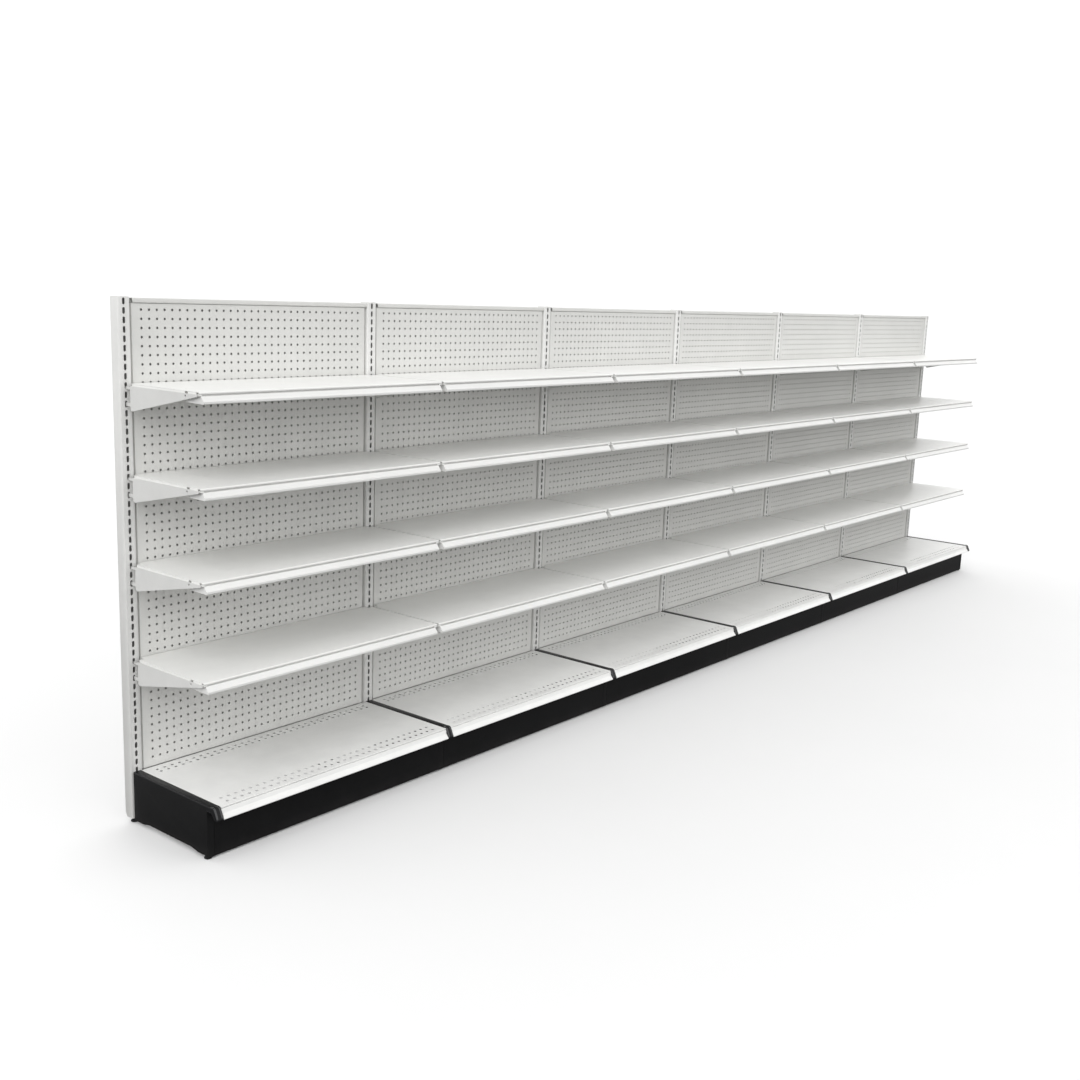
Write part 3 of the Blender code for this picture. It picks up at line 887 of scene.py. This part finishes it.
hole_size = {
    "Step_Across": (DECK_HOLE_PITCH, 0.0, 0.0),
    "Columns": DECK_COLUMNS,
    "Rows": 2,
    "Hole_Width": DECK_HOLE,
    "Hole_Height": DECK_HOLE,
    "Corner": DECK_HOLE * ROUND_END,
    "Corner_Facets": 3,
    "Depth": 6 * DECK_SHEET,
    "Facing": THROUGH_TOP,
}
first_across = -(DECK_COLUMNS - 1) / 2 * DECK_HOLE_PITCH
under_deck = deck_high.z - 3 * DECK_SHEET
front_row, second_row = (lip_top_y + inset for inset in DECK_FRONT_ROWS)
deck = punched(
    deck,
    deck_white,
    First_Hole=(first_across, front_row, under_deck),
    Step_Up=(0.0, second_row - front_row, 0.0),
    **hole_size,
)
rear_row, fore_row = (deck_high.y - inset for inset in DECK_REAR_ROWS)
deck = punched(
    deck,
    deck_white,
    First_Hole=(first_across, fore_row, under_deck),
    Step_Up=(0.0, rear_row - fore_row, 0.0),
    **hole_size,
)
rib_x = section_half - base_half - 0.004
ribs = []
for end_side in (-1, 1):
    inner, outer = span(end_side, rib_x - DECK_RIB_SHEET, rib_x)
    ribs.append(
        block(
            (inner, deck_high.y - 0.355, deck_high.z - DECK_SKIRT),
            (outer, deck_high.y - 0.030, deck_high.z - DECK_SHEET / 2),
        )
    )
rib_top = deck_high.z - DECK_SHEET - 0.0002
rib_foot = deck_high.z - DECK_RIB_TALL
channel_rib = [
    (-DECK_RIB_HALF, rib_top),
    (-DECK_RIB_HALF, rib_foot),
    (DECK_RIB_HALF, rib_foot),
    (DECK_RIB_HALF, rib_top),
]
rib_fold = folded(channel_rib, DECK_RIB_SHEET, 0.003)
ribs.append(prism(rib_fold, deck_high.y - 0.375, deck_high.y - 0.005, "y"))
deck = solid_meshes(deck, solid(*ribs))
for section in SECTIONS:
    node = f"base_deck_{section}"
    piece = placed(f"deck_{section}_pan", deck, deck_white, (centre_x(node), 0.0, 0.0))
    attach(piece, node)
    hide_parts(node)


# Kickplates. A black painted sheet closes each section below its deck, held between two base
# brackets. Its top, foot and ends are turned back.
KICK_SHEET = 0.0013
KICK_RETURN = 0.0118
KICK_LIP = 0.010
KICK_BEND = 0.0025
KICK_BLACK = (0.0105, 0.0105, 0.0110)

kick_black = powder_coat(
    "kick_black",
    KICK_BLACK,
    0.40,
    peel=0.7,
    mottle=0.10,
    speck=0.08,
    gloss=0.10,
    soil=(0.08, 0.05, BLACK_DUST),
)

kick_half = (kick_high.x - kick_low.x) / 2
kick_face = kick_low.y + KICK_SHEET / 2
kick_path = [
    (kick_low.y + KICK_RETURN, kick_low.z + KICK_LIP),
    (kick_low.y + KICK_RETURN, kick_low.z + KICK_SHEET / 2),
    (kick_face, kick_low.z + KICK_SHEET / 2),
    (kick_face, kick_high.z - KICK_SHEET / 2),
    (kick_low.y + KICK_RETURN, kick_high.z - KICK_SHEET / 2),
]
kick_fold = folded(kick_path, KICK_SHEET, KICK_BEND)
kick_parts = [solid(prism(kick_fold, -kick_half, kick_half, "x"))]
for end_side in (-1, 1):
    inner, outer = span(end_side, kick_half - KICK_SHEET, kick_half - 0.0002)
    web = block(
        (inner, kick_low.y + 0.0008, kick_low.z + 0.003),
        (outer, kick_low.y + KICK_RETURN - 0.001, kick_high.z - 0.0008),
    )
    kick_parts.append(solid(web))
kickplate = eased(combined(*kick_parts, operation="UNION"), 0.0003, 1)
smooth(kickplate)
for section in SECTIONS:
    node = f"kickplate_{section}"
    shift = (centre_x(node), 0.0, 0.0)
    piece = placed(f"kickplate_{section}_sheet", kickplate, kick_black, shift)
    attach(piece, node)
    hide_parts(node)


# Shelves. Each is a folded steel pan with a price channel along its front and a pressed bracket
# under each end. The brackets hook into the upright slots, and the shelf lifts off by tilting.
SHELF_SHEET = 0.0012
SHELF_FLANGE = 0.016
SHELF_NOTCH = 0.0225
SHELF_BEND = 0.0030
SHELF_EDGE = 0.0044
NOSE_DROP = 0.0072
NOSE_BACK = 0.0100
RIB_SHARE = 0.34
RIB_DROP = 0.0130
GROOVE = 0.0036
GROOVE_DEEP = 0.0045
GROOVE_END = 0.0115
BAND_TOP = 0.0108
BAND_FOOT = 0.0034
LIP_DROP = 0.0225
CHANNEL_TALL = 0.0318
CHANNEL_RETURN = 0.075
CHANNEL_CAP = 0.0010
CHANNEL_INSET = 0.0115
CHANNEL_SHEET = 0.0010
CHANNEL_BEND = 0.0012
SHELF_OVER_SLOT = 0.00635
HOOK_TALL = 0.0075
HOOK_DROP = 0.007
HOOK_REACH = 0.006
HOOK_TIP = 0.0036
HOOK_THROAT = 0.0003
TAB_REACH = 0.002
TAB_TOP = 0.014
TAB_FOOT = 0.004
BRACKET_SHEET = 0.0020
BRACKET_EASE = 0.0003
BRACKET_FLANGE = 0.014
BRACKET_HOLE = 0.0062
BRACKET_HOLE_BACK = 0.052
BRACKET_HOLE_DROP = 0.0130
HOLE_ROOM = 0.006
BRACKET_TOP = 0.0062
BRACKET_BACK = 0.019
BRACKET_NOSE_TALL = 0.0125
BRACKET_NOSE_BACK = 0.0030
BRACKET_HEEL = 0.008
# The pan, channel and brackets share one white paint. The pan's white is set lighter as painted
# light for its lit top, and the brackets' white darker as painted shade under the shelf.
SHELF_LIT_WHITE = (0.855, 0.855, 0.835)
CHANNEL_WHITE = (0.790, 0.790, 0.775)
BRACKET_SHADED_WHITE = (0.700, 0.700, 0.685)

shelf_white = powder_coat("shelf_white", SHELF_LIT_WHITE, 0.38, peel=0.3, mottle=0.02, speck=0.02)
channel_white = powder_coat(
    "channel_white", CHANNEL_WHITE, 0.34, peel=0.2, mottle=0.02, sheen=0.1
)
bracket_white = powder_coat("bracket_white", BRACKET_SHADED_WHITE, 0.44, peel=0.35, mottle=0.03)

shelf_low, shelf_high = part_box("shelf_1_1")
pan_half = section_half - SHELF_EDGE
pan_rear = rail_face
nose_y = shelf_low.y + NOSE_BACK
bracket_nose = nose_y + BRACKET_NOSE_BACK
bracket_rear = FACE_Y - BRACKET_BACK
hole_y = bracket_nose + BRACKET_HOLE_BACK
mid = -SHELF_SHEET / 2
pan_path = [
    (pan_rear - SHELF_SHEET / 2 - 0.010, -SHELF_FLANGE + SHELF_SHEET / 2),
    (pan_rear - SHELF_SHEET / 2, -SHELF_FLANGE + SHELF_SHEET / 2),
    (pan_rear - SHELF_SHEET / 2, mid),
    (nose_y + SHELF_SHEET / 2, mid),
    (nose_y + SHELF_SHEET / 2, -NOSE_DROP + SHELF_SHEET / 2),
    (nose_y + GROOVE_DEEP + 0.004, -NOSE_DROP + SHELF_SHEET / 2),
]
pan = solid(prism(folded(pan_path, SHELF_SHEET, SHELF_BEND), -pan_half, pan_half, "x"))
for end_side in (-1, 1):
    inner, outer = span(end_side, section_half - SHELF_NOTCH, section_half)
    notch = block((inner, bracket_rear, -0.05), (outer, pan_rear + CUT_PAST, CUT_PAST))
    pan = combined(pan, solid(notch))
smooth(pan)
flange_runs = (
    (nose_y + 0.012, hole_y - HOLE_ROOM),
    (hole_y + HOLE_ROOM, bracket_rear - 0.002),
)
pan_extras = []
for end_side in (-1, 1):
    inner, outer = span(end_side, pan_half - 0.0014, pan_half - 0.0004)
    for front, back in flange_runs:
        pan_extras.append(block((inner, front, -SHELF_FLANGE), (outer, back, mid)))
    inner, outer = span(end_side, pan_half - GROOVE_END, pan_half - 0.0005)
    groove_plug = block(
        (inner, nose_y + 0.0010, -NOSE_DROP - GROOVE + 0.0002),
        (outer, nose_y + 0.010, -NOSE_DROP + 0.0008),
    )
    pan_extras.append(groove_plug)
for share in (-RIB_SHARE, RIB_SHARE):
    rib_middle = share * 2 * pan_half
    hat = [
        (rib_middle - 0.030, mid - 0.0008),
        (rib_middle - 0.018, mid - 0.0008),
        (rib_middle - 0.014, -RIB_DROP),
        (rib_middle + 0.014, -RIB_DROP),
        (rib_middle + 0.018, mid - 0.0008),
        (rib_middle + 0.030, mid - 0.0008),
    ]
    pan_extras.append(prism(folded(hat, 0.0010, 0.002), nose_y + 0.030, pan_rear - 0.012, "y"))
pan = solid_meshes(pan, eased(solid(*pan_extras), 0.0003, 1))

channel_front = shelf_low.y + CHANNEL_SHEET / 2
channel_half = section_half - CHANNEL_INSET
groove_foot = -NOSE_DROP - GROOVE - CHANNEL_SHEET / 2
under_pan = -SHELF_SHEET - CHANNEL_SHEET / 2 - 0.0001
channel_path = [
    (nose_y + 0.016, under_pan),
    (nose_y + 0.0085, under_pan),
    (nose_y + 0.0085, groove_foot),
    (channel_front + BAND_TOP, groove_foot),
    (channel_front + BAND_FOOT, -LIP_DROP),
    (channel_front, -LIP_DROP - 0.0020),
    (channel_front, -CHANNEL_TALL + CHANNEL_SHEET / 2),
    (channel_front + CHANNEL_RETURN, -CHANNEL_TALL + 0.0014),
    (channel_front + CHANNEL_RETURN, -CHANNEL_TALL + 0.0030),
]
channel_fold = folded(channel_path, CHANNEL_SHEET, CHANNEL_BEND)
price_channel = solid(prism(channel_fold, -channel_half, channel_half, "x"))
smooth(price_channel)
cap_outline = [
    (channel_front + BAND_TOP + 0.0006, groove_foot),
    (channel_front + BAND_FOOT + 0.0006, -LIP_DROP),
    (channel_front + 0.0004, -LIP_DROP - 0.0022),
    (channel_front + 0.0004, -CHANNEL_TALL + 0.0008),
    (channel_front + CHANNEL_RETURN, -CHANNEL_TALL + 0.0010),
    (channel_front + CHANNEL_RETURN, -CHANNEL_TALL + 0.0026),
    (nose_y + 0.0120, groove_foot),
]
caps = []
for end_side in (-1, 1):
    inner, outer = span(end_side, channel_half - CHANNEL_CAP, channel_half + 0.0002)
    caps.append(eased(solid(prism(cap_outline, inner, outer, "x")), 0.0003, 1))
price_channel = solid_meshes(price_channel, *caps)

plate_outer = section_half - 0.0004
slot_low = -SHELF_OVER_SLOT - SLOT_HEIGHT / 2
inner_wall = FACE_Y + UPRIGHT_WALL
tab_low = slot_low - 2 * SLOT_PITCH
heel = (bracket_rear - BRACKET_HEEL, shelf_low.z - shelf_high.z + BRACKET_HEEL + 0.0005)
bracket_outline = [
    (bracket_rear, -BRACKET_TOP),
    (bracket_rear, slot_low + HOOK_TALL),
    (inner_wall + HOOK_REACH, slot_low + HOOK_TALL),
    (inner_wall + HOOK_REACH, slot_low - HOOK_DROP),
    (inner_wall + HOOK_TIP, slot_low - HOOK_DROP),
    (inner_wall + TAB_REACH, slot_low + HOOK_THROAT),
    (bracket_rear, slot_low + HOOK_THROAT),
    (bracket_rear, tab_low + TAB_TOP),
    (inner_wall + TAB_REACH, tab_low + TAB_TOP),
    (inner_wall + TAB_REACH, tab_low + TAB_FOOT),
    (bracket_rear, tab_low + TAB_FOOT),
    *arc(heel, BRACKET_HEEL, 0, -96, 6),
    (bracket_nose + 0.002, -BRACKET_NOSE_TALL - 0.0004),
    (bracket_nose, -BRACKET_NOSE_TALL + 0.0016),
    (bracket_nose, -BRACKET_TOP),
]


def bracket_for(end_side):
    """One pressed end bracket: a tapered plate with a hole near its nose, and a shelf rest."""
    inner, outer = span(end_side, plate_outer - BRACKET_SHEET, plate_outer)
    plate = solid(prism(bracket_outline, inner, outer, "x"))
    hole = arc((hole_y, -BRACKET_HOLE_DROP), BRACKET_HOLE / 2, 0, 330, 11)
    cut = solid(prism(hole, inner - CUT_PAST, outer + CUT_PAST, "x"))
    plate = eased(combined(plate, cut), BRACKET_EASE, 1)
    inner, outer = span(end_side, plate_outer - BRACKET_FLANGE, plate_outer - 0.0005)
    shelf_rest = block(
        (inner, bracket_nose + 0.090, -SHELF_FLANGE - 0.0014),
        (outer, bracket_rear - 0.006, -SHELF_FLANGE - 0.0002),
    )
    return solid_meshes(plate, eased(solid(shelf_rest), BRACKET_EASE, 1))


brackets = {"left": bracket_for(-1), "right": bracket_for(1)}
for node in sorted(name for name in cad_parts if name.startswith("shelf_")):
    shift = (centre_x(node), 0.0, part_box(node)[1].z)
    piece = placed(node + "_pan", pan, shelf_white, shift)
    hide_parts(node)
    pieces = [piece, placed(node + "_price_channel", price_channel, channel_white, shift)]
    for end, pattern in brackets.items():
        pieces.append(placed(f"{node}_{end}_bracket", pattern, bracket_white, shift))
    for piece in pieces:
        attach(piece, node)


# Floor, light and camera. A pale studio floor that runs on past the view, a bright even room that
# is dark below the horizon, and one broad soft lamp above and in front, to the left.
FLOOR_REACH = 400.0
FLOOR_DEEP = 0.02
FLOOR_PALE = ((0.86, 0.86, 0.86, 1.0), (0.90, 0.90, 0.90, 1.0))
CAMERA_PLACE = (-4.6844, -2.8783, 1.5681)
CAMERA_AZIMUTH = 50.969
CAMERA_FALL = 11.140
CAMERA_ROLL = 2.053
CAMERA_SEES = 1000.0
SENSOR = 36.0
ROOM_LOW = 1.38
ROOM_HIGH = 0.80
ROOM_BELOW = 0.16
HORIZON_FADE = (-0.10, -0.02)
CEILING_FADE = (0.25, 0.85)
KEY_FROM = (-0.66, -0.40, 0.62)
KEY_STRENGTH = 1.2
KEY_SPREAD = 45.0
LENS = 1245.7 / 1080 * SENSOR

floor_paint = Coat("floor_paint", Roughness=0.75, Specular_IOR_Level=0.2)
cloud = floor_paint.noise(floor_paint.place(), 0.8, 3.0)
floor_paint.feed("Base Color", floor_paint.blend(cloud, *FLOOR_PALE))
slab = block((-FLOOR_REACH, -FLOOR_REACH, -FLOOR_DEEP), (FLOOR_REACH, FLOOR_REACH, 0.0))
floor = placed("floor", solid(slab), floor_paint.material)

room = bpy.data.worlds.new("room")
room.use_nodes = True
nodes, links = room.node_tree.nodes, room.node_tree.links
way = nodes.new("ShaderNodeTexCoord")
split = nodes.new("ShaderNodeSeparateXYZ")
links.new(way.outputs["Generated"], split.inputs[0])


def room_step(start, end, low, high):
    """A smooth change with the height of the line of sight above the horizon."""
    step = nodes.new("ShaderNodeMapRange")
    step.interpolation_type = "SMOOTHSTEP"
    for socket, value in zip(list(step.inputs)[1:5], (start, end, low, high)):
        socket.default_value = value
    links.new(split.outputs["Z"], step.inputs["Value"])
    return step.outputs["Result"]


glow = nodes.new("ShaderNodeMath")
glow.operation = "MULTIPLY"
links.new(room_step(*HORIZON_FADE, ROOM_BELOW / ROOM_LOW, 1.0), glow.inputs[0])
links.new(room_step(*CEILING_FADE, ROOM_LOW, ROOM_HIGH), glow.inputs[1])
links.new(glow.outputs[0], nodes["Background"].inputs["Strength"])
nodes["Background"].inputs["Color"].default_value = (1.0, 1.0, 1.0, 1.0)
bpy.context.scene.world = room
floor.visible_diffuse = False
floor.visible_glossy = False

light = bpy.data.lights.new("key", "SUN")
light.energy = KEY_STRENGTH
light.angle = math.radians(KEY_SPREAD)
lamp = bpy.data.objects.new("key", light)
lamp.rotation_euler = (-Vector(KEY_FROM)).to_track_quat("-Z", "Y").to_euler()
bpy.context.scene.collection.objects.link(lamp)

azimuth, fall, roll = (math.radians(a) for a in (CAMERA_AZIMUTH, CAMERA_FALL, CAMERA_ROLL))
ahead = Vector(
    (math.sin(azimuth) * math.cos(fall), math.cos(azimuth) * math.cos(fall), -math.sin(fall))
)
level_right = ahead.cross(Vector((0, 0, 1))).normalized()
level_up = level_right.cross(ahead)
right = math.cos(roll) * level_right + math.sin(roll) * level_up
up = -math.sin(roll) * level_right + math.cos(roll) * level_up
lens = bpy.data.cameras.new("camera")
lens.lens = LENS
lens.sensor_width = SENSOR
lens.clip_end = CAMERA_SEES
camera = bpy.data.objects.new("camera", lens)
turned_to_run = Matrix((right, up, -ahead)).transposed().to_4x4()
camera.matrix_world = Matrix.Translation(CAMERA_PLACE) @ turned_to_run
bpy.context.scene.collection.objects.link(camera)
bpy.context.scene.camera = camera
bpy.context.scene.view_settings.view_transform = "Standard"
